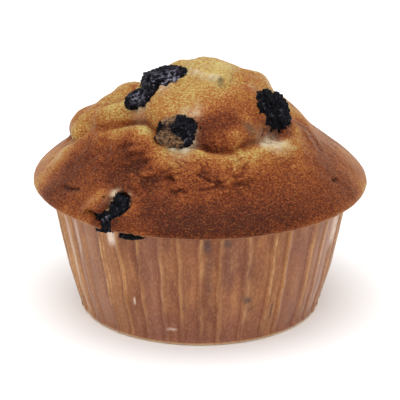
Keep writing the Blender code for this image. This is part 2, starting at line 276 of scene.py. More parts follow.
    place = new_tree_node(tree, "ShaderNodeCombineXYZ")
    for turn, socket in (("COSINE", "X"), ("SINE", "Y")):
        link(arithmetic(tree, "MULTIPLY", reach, arithmetic(tree, turn, angle)), place.inputs[socket])
    link(height, place.inputs["Z"])
    previous = sheet.outputs["Mesh"]
    for name, value in (("inward", inward), ("pleat", pleat), ("across", across), ("angle", angle),
                        ("up", height)):
        store = new_tree_node(tree, "GeometryNodeStoreNamedAttribute", data_type="FLOAT", domain="POINT",
                              Name=name)
        link(previous, store.inputs["Geometry"])
        link(value, store.inputs["Value"])
        previous = store.outputs["Geometry"]
    shaped = new_tree_node(tree, "GeometryNodeSetPosition")
    link(previous, shaped.inputs["Geometry"])
    link(place.outputs[0], shaped.inputs["Position"])
    closed = new_tree_node(tree, "GeometryNodeMergeByDistance", Distance=0.002 * MM)
    link(shaped.outputs[0], closed.inputs["Geometry"])
    real = new_tree_node(tree, "GeometryNodeRealizeInstances")
    link(closed.outputs[0], real.inputs["Geometry"])
    coated = new_tree_node(tree, "GeometryNodeSetMaterial")
    link(real.outputs[0], coated.inputs["Geometry"])
    link(given["Paper"], coated.inputs["Material"])
    link(coated.outputs[0], new_tree_node(tree, "NodeGroupOutput").inputs["Case"])
    return tree


def grown_by_nodes(name, mesh, tree, **sizes):
    """Runs a tree over the mesh with its inputs set by name, and gives the plain mesh that it makes."""
    seed = bpy.data.objects.new(name + "_start", mesh)
    bpy.context.scene.collection.objects.link(seed)
    step = seed.modifiers.new("grow", "NODES")
    step.node_group = tree
    for item in tree.interface.items_tree:
        if item.in_out == "INPUT" and item.name.replace(" ", "_") in sizes:
            step[item.identifier] = sizes[item.name.replace(" ", "_")]
    seed.update_tag()
    made = bpy.data.meshes.new_from_object(seed.evaluated_get(bpy.context.evaluated_depsgraph_get()))
    seed.modifiers.remove(step)
    bpy.data.objects.remove(seed)
    made.name = name
    return made


def face_outwards(mesh):
    loose = bmesh.new()
    loose.from_mesh(mesh)
    bmesh.ops.recalc_face_normals(loose, faces=loose.faces)
    loose.to_mesh(mesh)
    loose.free()
    mesh.shade_smooth()


def linear(red, green, blue):
    """A colour as it looks on a screen, 0 to 255, turned into the shader's own scale."""
    return tuple(v / 255 / 12.92 if v <= 10 else ((v / 255 + 0.055) / 1.055) ** 2.4
                 for v in (red, green, blue))


def new_finish(name, roughness, specular):
    finish = bpy.data.materials.new(name)
    finish.use_nodes = True
    shader = finish.node_tree.nodes["Principled BSDF"]
    shader.inputs["Roughness"].default_value = roughness
    shader.inputs["Specular IOR Level"].default_value = specular
    return finish, finish.node_tree, shader


def pattern(tree, kind, scale, detail=3.0, stretch=(1, 1, 1)):
    """A noise or cell texture in the piece's own coordinates; the scale is in repeats to the metre."""
    place = new_tree_node(tree, "ShaderNodeTexCoord")
    fit = new_tree_node(tree, "ShaderNodeMapping")
    fit.inputs["Scale"].default_value = stretch
    tree.links.new(place.outputs["Object"], fit.inputs["Vector"])
    texture = new_tree_node(tree, kind, Scale=scale)
    if "Detail" in texture.inputs:
        texture.inputs["Detail"].default_value = detail
    tree.links.new(fit.outputs[0], texture.inputs["Vector"])
    return texture.outputs[0]


def kept(tree, name):
    """The value stored on the mesh under this name."""
    return new_tree_node(tree, "ShaderNodeAttribute", attribute_name=name).outputs["Fac"]


def blend(tree, share, first, second, mode="MIX"):
    """Mixes two colours, plain or linked, by a share that is plain or linked."""
    node = new_tree_node(tree, "ShaderNodeMix", data_type="RGBA", blend_type=mode)
    for socket, value in ((node.inputs[0], share), (node.inputs[6], first), (node.inputs[7], second)):
        if isinstance(value, bpy.types.NodeSocket):
            tree.links.new(value, socket)
        else:
            socket.default_value = (*value, 1) if isinstance(value, tuple) else value
    return node.outputs[2]


def between_limits(tree, value, low, high, out_low=0.0, out_high=1.0):
    node = new_tree_node(tree, "ShaderNodeMapRange")
    tree.links.new(value, node.inputs["Value"])
    for name, limit in (("From Min", low), ("From Max", high), ("To Min", out_low), ("To Max", out_high)):
        node.inputs[name].default_value = limit
    return node.outputs[0]


def bumpy(tree, shader, height, strength, distance):
    bump = new_tree_node(tree, "ShaderNodeBump", Strength=strength, Distance=distance)
    tree.links.new(height, bump.inputs["Height"])
    tree.links.new(bump.outputs[0], shader.inputs["Normal"])


def greased_paper():
    finish, tree, shader = new_finish("greased paper", 0.45, 0.12)
    shader.inputs["Sheen Weight"].default_value = 0.5
    shader.inputs["Sheen Roughness"].default_value = 0.33
    shader.inputs["Sheen Tint"].default_value = (1.0, 0.88, 0.76, 1)
    # brown where the fat soaked in, streaked down the pleats and pinker at the foot, with a painted sheen that
    # makes it paler to the sides
    blotches = pattern(tree, "ShaderNodeTexNoise", 150, 3.0, (1, 1, 0.6))
    colour = blend(tree, between_limits(tree, blotches, 0.36, 0.62), linear(136, 84, 54), linear(110, 65, 47))
    streaks = pattern(tree, "ShaderNodeTexNoise", 420, 3.0, (1, 1, 0.14))
    colour = blend(tree, between_limits(tree, streaks, 0.44, 0.68, 0, 0.6), colour, linear(172, 118, 74))
    foot = between_limits(tree, kept(tree, "up"), 13 * MM, 1 * MM, 0, 0.6)
    colour = blend(tree, foot, colour, linear(134, 84, 70))
    # painted sheen: paler where the wall turns away to the left and right
    sideways = arithmetic(tree, "COSINE", kept(tree, "angle"))
    for start, full, share, shade in ((-0.53, -0.94, 0.5, (190, 142, 98)),
                                      (0.72, 0.96, 0.45, (194, 148, 116))):
        colour = blend(tree, between_limits(tree, sideways, start, full, 0, share), colour, linear(*shade))
    # each pleat has its own tone: some carry a painted mauve sheen as if turned to the light, some are paler
    # with less fat
    facet = new_tree_node(tree, "ShaderNodeTexWhiteNoise", noise_dimensions="1D")
    tree.links.new(arithmetic(tree, "FLOOR", kept(tree, "pleat")), facet.inputs["W"])
    for start, full, share, shade in ((0.55, 0.9, 0.5, (138, 92, 78)), (0.4, 0.1, 0.3, (180, 126, 78))):
        colour = blend(tree, between_limits(tree, facet.outputs["Value"], start, full, 0, share), colour,
                       linear(*shade))
    # painted highlights beside and along the ridges, lit unevenly, and painted shade in the valleys
    uneven_light = pattern(tree, "ShaderNodeTexNoise", 260, 2.0, (1, 1, 0.4))
    lit = between_limits(tree, uneven_light, 0.38, 0.6, 0.12, 0.9)
    lit = arithmetic(tree, "MULTIPLY", lit, between_limits(tree, kept(tree, "up"), 2 * MM, 14 * MM, 0.45, 1))
    flank = arithmetic(tree, "MULTIPLY", between_limits(tree, kept(tree, "across"), 0.42, 0.04),
                       between_limits(tree, facet.outputs["Value"], 0.8, 0.1, 0.1, 0.85))
    colour = blend(tree, arithmetic(tree, "MULTIPLY", flank, lit), colour, linear(208, 160, 112))
    # painted shade: a dark line in each valley where the ridge beside it hides the light
    valley = arithmetic(tree, "MULTIPLY", between_limits(tree, kept(tree, "inward"), 0.88, 0.97),
                        between_limits(tree, kept(tree, "across"), 0.3, 0.8, 0.3, 0.85))
    colour = blend(tree, valley, colour, linear(108, 56, 34))
    ridge = between_limits(tree, kept(tree, "inward"), 0.8, 0.3)
    colour = blend(tree, arithmetic(tree, "MULTIPLY", ridge, lit), colour, linear(190, 140, 90))
    broken = pattern(tree, "ShaderNodeTexNoise", 600, 2.0, (1, 1, 0.5))
    broken = between_limits(tree, broken, 0.42, 0.6, 0, 0.85)
    # a broken painted highlight along each ridge's very top
    crest = arithmetic(tree, "MULTIPLY", between_limits(tree, kept(tree, "inward"), 0.3, 0.05),
                       arithmetic(tree, "MULTIPLY", broken, lit))
    colour = blend(tree, crest, colour, linear(226, 190, 148))
    # dry places, stains, the crease round the bottom and the paper's own fibres
    colour = blend(tree, kept(tree, "dry"), colour, linear(228, 208, 190))
    colour = blend(tree, kept(tree, "stain"), colour, linear(78, 58, 54))
    hem = between_limits(tree, kept(tree, "up"), 1.0 * MM, 0.5 * MM, 0, 0.75)
    colour = blend(tree, hem, colour, linear(222, 184, 132))
    grain = pattern(tree, "ShaderNodeTexNoise", 2200, 4.0, (1, 1, 0.5))
    colour = blend(tree, between_limits(tree, grain, 0.34, 0.56, 0.3, 0), colour, linear(112, 66, 44))
    colour = blend(tree, between_limits(tree, grain, 0.5, 0.75, 0, 0.16), colour, linear(212, 166, 118))
    tree.links.new(colour, shader.inputs["Base Color"])
    crinkle = arithmetic(tree, "ADD", streaks, arithmetic(tree, "MULTIPLY", grain, 0.5))
    bumpy(tree, shader, crinkle, 0.4, 0.25 * MM)
    return finish


uneven = [1 + 0.22 * math.sin(2.4 * i) for i in range(BACK_PLEATS)]
back_widths = [(360 - sum(FRONT_PLEATS)) * share / sum(uneven) for share in uneven]
ridge_degrees = FIRST_RIDGE + np.concatenate([[0], np.cumsum(list(FRONT_PLEATS) + back_widths)])
marks = bpy.data.meshes.new("ridge_marks")
marks.from_pydata([(math.radians(direction), 0, 0) for direction in ridge_degrees], [], [])
paper = greased_paper()
case_mesh = grown_by_nodes(
    "paper_case_skin", marks, pleated_case_tree(), Top_radius=CASE_TOP_RADIUS, Height=CASE_HEIGHT,
    Corner=CASE_CORNER, Pleat_depth=PLEAT_DEPTH, Ridge_waver=1.6 * MM, Wall_dents=0.5 * MM, Steps_across=14,
    Rows=60, Seed=4, Paper=paper)


def store_value(mesh, name, values):
    attribute = mesh.attributes.new(name, "FLOAT", "POINT")
    attribute.data.foreach_set("value", np.ascontiguousarray(values, np.float32))


def wall_marks(mesh, places):
    """How strongly each point of the wall lies in the marks, given as STAINS is."""
    angle = np.array([item.value for item in mesh.attributes["angle"].data])
    up = np.array([item.value for item in mesh.attributes["up"].data])
    total = np.zeros(len(angle))
    for direction, height, half_width, half_height, strength in places:
        aside = (angle - math.radians(direction)) * CASE_TOP_RADIUS / (half_width * MM)
        above = (up - height * MM) / (half_height * MM)
        total += strength * np.exp(-(aside ** 4 + above ** 4))
    return np.clip(total, 0, 0.9)


store_value(case_mesh, "stain", wall_marks(case_mesh, STAINS))
store_value(case_mesh, "dry", wall_marks(case_mesh, DRY_PLACES))
face_outwards(case_mesh)
case = bpy.data.objects.new("paper_case_skin", case_mesh)
bpy.context.scene.collection.objects.link(case)
wall = case.modifiers.new("paper", "SOLIDIFY")
wall.thickness = PAPER
wall.offset = -1
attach(case, "root")
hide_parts("paper_case")

# ---- the cake -----------------------------------------------------------------------------------
# Baked batter: a tapered body inside the case, a lip that spread over its edge, and a crown that rose in folded
# masses. The crust is thin and brown where the oven reached it, and pale gold where a fold opened late.
LIP_HEIGHT = 33.0 * MM
CROWN_CELLS = 156
RIM_CROWDING = 1.3
LIP_SAG = 0.9 * MM                # how much lower the lip hangs at its far right
SAG_START = 42.0 * MM             # the height from which it sags, and over how much it does so in full
SAG_RUN = 9.0 * MM
FOLD_WANDER = 0.8 * MM            # how far the folds stray from their lines
GAP = 0.3 * MM
CROWN_PROFILE = ((0, 58.4), (6, 57.8), (12, 56.0), (18, 52.7), (23, 48.9), (27, 45.2), (30, 42.4),
                 (33, 40.0), (36, 37.8), (38.5, 35.9), (40.0, 34.6), (40.8, 33.7), (41, 33.0))
LIP_UNDERSIDE = ((40.9, 32.7), (40.6, 32.3), (40.0, 31.9), (39.2, 31.7))
# Risen masses: raise, width and sharpness of the rounded edge, and the outline in plan, millimetres.
MASSES = {
    "middle": (3.0, 6.0, 3.2, (
        (15.4, -15.4), (13.2, -18.6), (9.4, -21.4), (5.2, -23.3), (0.0, -22.4), (-4.0, -22.1), (-8.6, -20.4),
        (-10.8, -17.0), (-13.9, -13.9), (-17.0, -12.0), (-20.2, -9.9), (-23.2, -7.6), (-22.8, -4.8),
        (-17.5, -2.4), (-14.0, 3.0), (-8.0, 9.0), (0.0, 12.0), (9.0, 11.0), (16.0, 6.0), (17.8, -1.0),
        (17.6, -10.0))),
    "summit": (0.9, 3.0, 2.5, (
        (8.0, 2.5), (7.6, -3.5), (5.6, -8.4), (1.0, -6.6), (-2.5, -4.6), (-3.0, 0.0), (-1.0, 5.5), (3.6, 7.0))),
    "right shoulder": (0.45, 1.0, 2.5, (
        (9.0, 4.5), (15.0, 4.5), (17.6, 1.0), (17.4, -6.0), (13.5, -9.0), (8.5, -4.0))),
    "back left": (3.6, 4.5, 2.5, (
        (-14.0, 1.6), (-20.0, -2.8), (-25.0, -3.4), (-29.5, -2.6), (-31.0, 0.6), (-31.4, 3.5), (-30.4, 7.5),
        (-25.0, 8.5), (-15.0, 8.0))),
    "back right": (1.0, 6.0, 1.6, (
        (19.0, 4.0), (21.0, -3.0), (25.0, -3.0), (28.0, 2.0), (27.0, 9.0), (21.0, 14.0), (13.0, 15.0),
        (14.0, 10.0))),
    "back": (1.4, 6.0, 2.2, (
        (-33.0, 6.0), (-31.0, 14.0), (-22.0, 23.0), (-8.0, 28.0), (8.0, 27.0), (20.0, 20.0), (16.0, 13.0),
        (3.0, 16.0), (-10.0, 14.0), (-22.0, 6.0))),
}
# Rolled edges: raise, width, fade and an open line; the crust swells up on its left as the points run.
ROLLS = {
    "skirt": (1.3, 2.2, 12.0, (
        (22.5, -5.5), (22.0, -10.4), (18.4, -15.8), (13.8, -19.4), (9.6, -22.2), (5.2, -23.9), (0.0, -23.1),
        (-4.0, -22.8), (-8.6, -21.7), (-10.9, -18.5), (-13.8, -14.9), (-17.2, -12.7), (-20.6, -10.6),
        (-23.8, -8.0))),
    "left ridge": (1.9, 2.6, 12.0, (
        (-14.8, -7.0), (-18.2, -5.6), (-21.4, -4.4), (-24.5, -4.4), (-27.5, -3.6), (-30.4, -1.8),
        (-34.5, 1.5))),
    "flap": (1.9, 0.8, 5.5, (
        (-28.6, -27.8), (-26.4, -29.5), (-24.5, -30.0), (-22.9, -31.2), (-21.4, -30.8), (-20.2, -29.9),
        (-19.8, -28.0), (-21.2, -25.8))),
}
# Hollows: place in plan, radius and depth; a negative depth is a bump.
HOLLOWS = (
    (-4.7, -21.4, 4.5, 1.0), (17.5, -15.0, 4.6, 1.3), (11.0, -13.8, 7.0, 1.0), (-21.5, -31.0, 7.5, -1.1),
    (5.2, -8.6, 2.5, 0.8), (-19.5, 5.0, 6.0, 0.9), (-26.5, 4.5, 4.5, -1.2), (-33.0, 3.0, 3.5, 0.2),
    (-7.5, 1.0, 6.5, 1.3), (10.4, 0.5, 3.0, 0.8), (21.5, -1.0, 4.0, 0.7),
)
# Lumps all over the crust, millimetres: their size, their height and a number that places them.
LUMPS = ((9.0, 0.7, 1), (4.0, 0.4, 2), (1.8, 0.2, 4))
# Level wrinkles across the middle of the front: the middle and half width of the stretch that they cross, how
# many run round and up to the radian, how far the waves between them rise, and how deep they cut.
WRINKLED_AT = -1.0 * MM
WRINKLED_REACH = 20.0 * MM
WRINKLES_ROUND, WRINKLES_UP = 8.0, 19.0
WAVE_RISE = 1.7 * MM
WRINKLE_CUT = 0.9 * MM
# The torn hole that the lower left berry shows in: depth, edge width and outline in plan.
TORN_HOLE = (2.4, 0.7, (
    (-26.2, -29.4), (-24.5, -30.0), (-22.9, -31.2), (-21.4, -30.8), (-20.2, -29.9), (-19.8, -28.0),
    (-18.0, -28.4), (-16.7, -30.4), (-16.8, -32.8), (-18.2, -34.0), (-20.5, -34.2), (-21.1, -35.4),
    (-20.8, -37.2), (-23.0, -36.4), (-23.9, -33.6), (-25.2, -31.2)))
# Cracks: half width, depth and an open line.
CRACKS = (
    (0.7, 0.8, ((-23.8, -7.6), (-20.4, -10.2), (-17.0, -12.3), (-13.9, -14.3), (-10.9, -17.6), (-8.9, -20.6))),
    (0.8, 0.5, ((-8.4, -21.2), (-4.0, -22.5), (0.0, -22.7), (5.2, -23.6), (9.5, -21.8), (13.5, -19.0))),
    (0.7, 0.9, ((-33.4, -16.8), (-32.2, -18.6), (-30.6, -20.6), (-28.8, -22.4))),
    (0.6, 0.7, ((-11.4, -28.3), (-9.6, -28.9), (-8.2, -28.8), (-6.0, -29.6))),
    (0.7, 0.8, ((-7.8, -31.4), (-6.0, -32.1), (-4.6, -31.6), (-2.6, -31.9))),
    (0.6, 1.0, ((31.6, -16.0), (32.8, -15.0), (33.8, -13.6))),
    (0.5, 0.6, ((7.5, -30.2), (10.0, -29.2), (13.0, -29.0))),
    (0.6, 0.4, ((7.4, 3.0), (7.4, -3.5), (5.6, -8.0), (1.0, -6.4), (-3.0, -4.6))),
)
# The berries held in the crust: centre and half sizes, turns in degrees, how far the right end tapers, and a
# number that varies the wrinkles.
BERRIES = {
    "berry_top_large": ((-7.7, -4.6, 58.6), (7.2, 4.2, 3.9), (0, -12, 14), 0.5, 3),
    "berry_top_small": ((-14.1, -11.3, 57.2), (4.3, 2.2, 2.3), (0, -20, 15), 0.0, 5),
    "berry_middle": ((-4.7, -19.9, 51.5), (5.8, 3.7, 4.3), (30, 0, 5), 0.0, 7),
    "berry_right": ((16.9, -9.3, 52.7), (4.8, 4.2, 5.6), (0, -29, 0), 0.0, 11),
    "berry_lower_left": ((-20.5, -29.6, 35.0), (4.6, 5.2, 3.0), (37, 0, -35), 0.0, 13),
    "berry_rim": ((-15.8, -35.7, 31.5), (3.7, 1.6, 1.2), (0, -8, -25), 0.0, 17),
}


def unit(vectors):
    return vectors / np.linalg.norm(vectors, axis=-1, keepdims=True)


def rounded_path(points, closed, steps=8):
    """A smooth (Catmull-Rom) line through the points."""
    corners = np.array(points, float) * MM
    count = len(corners)
    line = []
    for i in range(count if closed else count - 1):
        before, start, end, after = (
            corners[j % count] if closed else corners[min(max(j, 0), count - 1)] for j in range(i - 1, i + 3))
        for t in np.linspace(0, 1, steps, endpoint=False):
            line.append(start + 0.5 * t * (end - before)
                        + t * t * (before - 2.5 * start + 2 * end - 0.5 * after)
                        + 0.5 * t ** 3 * (3 * start - before - 3 * end + after))
    if not closed:
        line.append(corners[-1])
    return np.array(line)


def nearest(plan, line, closed):
    """For each place in plan: its distance from the line, how far along it (0 to 1), and its side (+1 left)."""
    starts = line if closed else line[:-1]
    ends = np.roll(line, -1, axis=0) if closed else line[1:]
    distance = np.full(len(plan), np.inf)
    along = np.zeros(len(plan))
    side = np.ones(len(plan))
    for i, (start, end) in enumerate(zip(starts, ends)):
        step = end - start
        t = np.clip((plan - start) @ step / (step @ step), 0, 1)
        offset = plan - start - t[:, None] * step
        reach = np.linalg.norm(offset, axis=1)
        closer = reach < distance
        distance[closer] = reach[closer]
        along[closer] = (i + t[closer]) / len(starts)
        side[closer] = np.sign(step[0] * offset[closer, 1] - step[1] * offset[closer, 0])
    return distance, along, side


def inside(plan, line):
    """Which places lie within the closed line."""
    x, y = plan[:, 0], plan[:, 1]
    within = np.zeros(len(plan), bool)
    for start, end in zip(line, np.roll(line, -1, axis=0)):
        if start[1] == end[1]:
            continue
        crosses = (start[1] > y) != (end[1] > y)
        within ^= crosses & (x < start[0] + (end[0] - start[0]) * (y - start[1]) / (end[1] - start[1]))
    return within


def pillow(distance, width, sharpness):
    """0 at an edge, rising steeply and then levelling off at 1 at the given width."""
    return 1 - (1 - np.clip(distance / width, 0, 1)) ** sharpness


def fade(distance, length):
    """1 at 0, easing down to 0 at the given length."""
    return 0.5 + 0.5 * np.cos(np.pi * np.clip(distance / length, 0, 1))


def ripple(points, size, seed=0.0):
    """Smooth noise from about -0.7 to 0.7 whose lumps are about the given size."""
    shift = Vector((seed, -seed, 2 * seed))
    return np.array([noise.noise(Vector(point) / size + shift) for point in points])


def crown_surface(directions, lines):
    """Points of the crust, along unit directions from the middle of the lip's widest ring.

    Puts the distance from each fold line and berry, and the cracks and wrinkles, into lines for the browning
    and for the painted shade and highlights.
    """
    radius, height = np.array(CROWN_PROFILE, float).T * MM
    height = height - LIP_HEIGHT
    slope = np.arcsin(np.clip(directions[:, 2], -1, 1))
    order = np.argsort(np.arctan2(height, radius))
    reach = np.interp(slope, np.arctan2(height, radius)[order], np.hypot(radius, height)[order])
    smooth = directions * reach[:, None]
    plan = smooth[:, :2] + np.stack([ripple(smooth, 5 * MM, seed) for seed in (3, 9)], 1) * FOLD_WANDER
    swell = np.zeros(len(reach))
    for name, (raise_by, width, sharpness, outline) in MASSES.items():
        line = rounded_path(outline, closed=True)
        distance = nearest(plan, line, True)[0]
        within = inside(plan, line)
        swell += raise_by * MM * pillow(distance, width * MM, sharpness) * within
        lines[name] = np.where(within, distance, -distance)
    for name, (raise_by, width, length, points) in ROLLS.items():
        distance, along, side = nearest(plan, rounded_path(points, closed=False), False)
        ends = np.clip(6 * np.minimum(along, 1 - along), 0, 1)
        swell += (raise_by * MM * ends * (side > 0)
                  * pillow(distance, width * MM, 2.5) * fade(distance, length * MM))
        lines[name] = np.where(ends > 0, distance * side, 1.0)
    lines["cracks"] = np.zeros(len(reach))
    for half_width, depth, points in CRACKS:
        distance, along, _ = nearest(plan, rounded_path(points, closed=False), False)
        ends = np.clip(6 * np.minimum(along, 1 - along), 0, 1)
        swell -= depth * MM * ends * fade(distance, half_width * MM)
        lines["cracks"] = np.maximum(lines["cracks"], depth * ends * fade(distance, half_width * MM))
    for x, y, size, depth in HOLLOWS:
        away = np.hypot(plan[:, 0] - x * MM, plan[:, 1] - y * MM)
        swell -= depth * MM * fade(away, size * MM)
    depth, width, outline = TORN_HOLE
    line = rounded_path(outline, closed=True)
    swell -= depth * MM * pillow(nearest(plan, line, True)[0], width * MM, 1.5) * inside(plan, line)
    # ragged crust stands up round each berry
    raised = smooth + directions * swell[:, None] + (0, 0, LIP_HEIGHT)
    lines["berry"] = np.full(len(reach), 1.0)
    for name, (centre, half_sizes, turns, _, _) in BERRIES.items():
        if name == "berry_lower_left":
            continue
        turned = np.array(Euler([math.radians(turn) for turn in turns]).to_matrix())
        own = (raised - np.array(centre) * MM) @ turned / (np.array(half_sizes) * MM)
        lines["berry"] = np.minimum(lines["berry"], (np.linalg.norm(own, axis=1) - 0.95) * min(half_sizes) * MM)
    collar = np.exp(-((lines["berry"] - 0.3 * MM) / (0.7 * MM)) ** 2)
    swell += collar * (0.25 * MM + 1.3 * MM * ripple(smooth, 1.3 * MM, 21))
    # lumps, lower towards the lip and the sides
    edge = np.clip(smooth[:, 2] / (4 * MM), 0.4, 1)
    calm = 1 - 0.6 * np.clip(np.abs(smooth[:, 0]) / (34 * MM), 0, 1) ** 2
    swell += edge * calm * sum(rise * MM * ripple(smooth, size * MM, seed) for size, rise, seed in LUMPS)
    # level wrinkles across the front, where the crust set before the crown had done rising
    turn = np.arctan2(smooth[:, 1], smooth[:, 0])
    bands = np.stack([turn * WRINKLES_ROUND, slope * WRINKLES_UP, np.zeros(len(turn))], 1)
    bands += ripple(smooth, 6 * MM, 31)[:, None]
    front = np.exp(-((smooth[:, 0] - WRINKLED_AT) / WRINKLED_REACH) ** 2)
    front *= fade(np.abs(slope - 0.40), 0.36) * (turn < 0)
    front *= np.clip(0.6 + 1.6 * ripple(smooth, 6 * MM, 41), 0, 1)
    waves = ripple(bands, 1.0, 16)
    lines["wrinkles"] = front * np.clip(1 - 4 * np.abs(ripple(bands, 1.0, 6)), 0, 1)
    lines["crests"] = front * np.clip(3 * waves, 0, 1)
    swell += WAVE_RISE * front * waves - WRINKLE_CUT * lines["wrinkles"]
    return directions * (reach + swell)[:, None] + (0, 0, LIP_HEIGHT)


def dome_grid(cells):
    """Unit directions over a half sphere with no pole: a square patch on top, four sides down to level.

    Gives the directions, the faces, and the lowest ring's vertices in order round the rim.
    """
    spread = np.tan(np.radians(np.linspace(-45, 45, cells + 1)))
    x, y = np.meshgrid(spread, spread, indexing="ij")
    directions = [np.stack([x, y, np.ones_like(x)], -1).reshape(-1, 3)]
    index = np.arange((cells + 1) ** 2).reshape(cells + 1, cells + 1)
    faces = [(index[i, j], index[i + 1, j], index[i + 1, j + 1], index[i, j + 1])
             for i in range(cells) for j in range(cells)]
    edge = [*index[:-1, 0], *index[-1, :-1], *index[:0:-1, -1], *index[0, :0:-1]]
    border = directions[0][edge]
    count = len(directions[0])
    rows = cells // 2
    for step in range(1, rows + 1):
        row = border.copy()
        row[:, 2] = math.tan(math.radians(45 * (1 - step / rows) ** RIM_CROWDING))
        directions.append(row)
        below = list(range(count, count + len(row)))
        faces += ring_faces(edge, below)
        edge = below
        count += len(row)
    return unit(np.concatenate(directions)), faces, edge


def ring_faces(upper, lower):
    """Quads between two rings of vertices that run anticlockwise seen from above, facing outwards."""
    return [(upper[i], lower[i], lower[(i + 1) % len(lower)], upper[(i + 1) % len(upper)])
            for i in range(len(upper))]


def new_piece(name, points, faces, finish):
    mesh = bpy.data.meshes.new(name)
    mesh.from_pydata([tuple(map(float, point)) for point in points], [],
                     [tuple(map(int, face)) for face in faces])
    mesh.materials.append(finish)
    mesh.shade_smooth()
    piece = bpy.data.objects.new(name, mesh)
    bpy.context.scene.collection.objects.link(piece)
    return piece


# How brown the crust is (0 pale, 1 darkest) at each height in millimetres: the oven browned the skirt most.
BROWN_BY_HEIGHT = ((31, 0.56), (32.6, 0.75), (34, 0.87), (36, 0.86), (39, 0.77), (44, 0.67), (50, 0.56),
                   (55, 0.45), (59, 0.39), (62, 0.32))
# The gold along the skirt's rolled edge: how far it reaches inwards and outwards, and how much paler it is.
GOLD_INWARDS = 0.9 * MM
GOLD_OUTWARDS = 2.8 * MM
GOLD = 0.23
# Where the crust is browner (+) or paler (-) than its height alone makes it, mostly from baking; the spots at
# the far left and right are painted rim light, and the one just below the right berry is painted shadow: place
# in plan, radius, amount.
BROWNING_AND_PAINTED_LIGHT = (
    (4.6, -20.6, 4.0, 0.18), (9.0, -15.0, 6.0, 0.16), (12.0, -16.8, 2.0, -0.12), (12.0, -7.0, 3.5, 0.08),
    (-16.0, -20.0, 6.5, 0.16), (-26.0, 1.0, 9.0, -0.07), (22.0, 2.0, 7.0, -0.15), (0.0, -38.0, 16.0, 0.08),
    (-20.0, -8.0, 5.0, -0.14), (12.0, -1.0, 4.5, 0.11), (-23.8, -27.4, 3.0, -0.24),
    # the spots at x -40.8 and 40.5 are painted rim light
    (-40.8, -8.0, 6.5, -0.42), (40.5, -8.0, 7.0, -0.34), (4.0, -33.0, 12.0, -0.12),
    # the spot at 18.0, -12.2 is painted shadow below the right berry
    (-25.5, -12.1, 4.0, 0.1), (18.0, -12.2, 2.2, 0.34), (-32.0, -26.0, 7.0, -0.24),
    (28.0, -28.0, 8.0, -0.12), (14.0, -15.0, 2.5, 0.1), (-12.6, -17.0, 2.4, -0.17),
    (-16.8, -16.8, 2.0, 0.1), (0.0, -36.5, 3.0, 0.06), (24.0, -16.0, 5.0, -0.04), (0.2, -21.6, 2.4, 0.24),
    (8.6, -22.0, 2.0, -0.2), (24.0, -5.6, 4.0, 0.19), (-16.2, -33.2, 3.0, -0.22),
    (-27.0, -30.8, 3.0, -0.15), (-30.3, -1.8, 4.0, -0.1), (5.4, -7.6, 3.6, -0.1), (3.6, -28.0, 4.0, 0.13),
    (-12.5, -21.9, 3.0, 0.1), (35.0, -20.0, 6.0, -0.12), (-14.0, -38.0, 4.0, -0.18),
    (-31.0, -12.0, 3.5, 0.08), (8.0, -19.4, 2.2, 0.12), (4.0, -23.0, 2.0, -0.1), (-4.5, -32.5, 3.5, -0.08),
    (-27.0, 5.0, 4.0, 0.06), (-33.5, -3.5, 4.0, -0.16), (6.0, 0.0, 3.0, -0.08), (3.4, -21.2, 3.0, 0.12),
    # the spots at x -38.5 and 38.5 are painted rim light
    (-13.4, -34.6, 2.6, 0.1), (-38.5, 4.5, 6.5, -0.36), (38.5, 4.5, 6.5, -0.3), (22.6, -13.6, 2.6, 0.12),
)
# Bare crumb torn open beside the berries, crumb bared elsewhere, and juice soaked into the crust together with
# painted
# shade under and beside the berries: place in plan, radius, amount.
CRUMB = (
    (-4.6, -23.0, 2.4, 1.2), (-0.6, -17.0, 1.6, 0.5), (-9.5, -8.4, 2.2, 0.6), (12.4, -6.6, 1.2, 0.5),
    (-14.5, -13.6, 2.0, 0.5),
)
BARE = (
    (-2.6, -4.4, 0.9, 0.7), (-1.0, -5.1, 0.9, 0.6), (0.8, -6.0, 0.9, 0.6), (2.6, -6.9, 1.0, 0.7),
    (4.0, -7.6, 1.0, 0.6), (-20.2, -28.2, 1.0, 0.9), (-20.6, -29.6, 0.7, 0.8), (15.4, -19.2, 1.2, 0.8),
    (17.2, -17.8, 1.8, 1.6), (20.2, -15.9, 1.3, 0.7), (17.4, -15.9, 1.5, 0.7), (-17.0, -30.0, 0.7, 0.5),
    (-3.3, -23.5, 0.9, 0.8), (-1.6, -23.2, 0.8, 0.6), (-6.2, -22.6, 1.0, 0.6), (-3.6, -18.2, 1.3, 0.35),
    (-1.0, -18.8, 1.2, 0.4), (-18.6, -3.4, 1.6, 0.3), (-24.0, -3.0, 2.0, 0.3),
)
JUICE_AND_SHADE = (
    (5.0, -8.2, 0.8, 0.9), (3.0, -7.4, 0.8, 0.4), (11.4, -19.0, 1.2, 0.6), (-8.2, -20.2, 1.2, 0.6),
    (12.8, -18.4, 1.3, 0.5), (-8.6, -8.6, 1.2, 0.4), (-20.9, -31.4, 1.2, 0.7), (17.2, -13.4, 1.6, 0.5),
    (16.4, -17.0, 1.4, 0.5),
)


def patches(points, places):
    """How strongly each point lies over round places in plan."""
    total = np.zeros(len(points))
    for x, y, radius, amount in places:
        away = np.hypot(points[:, 0] - x * MM, points[:, 1] - y * MM)
        total += amount * np.exp(-(away / (radius * MM)) ** 2)
    return total


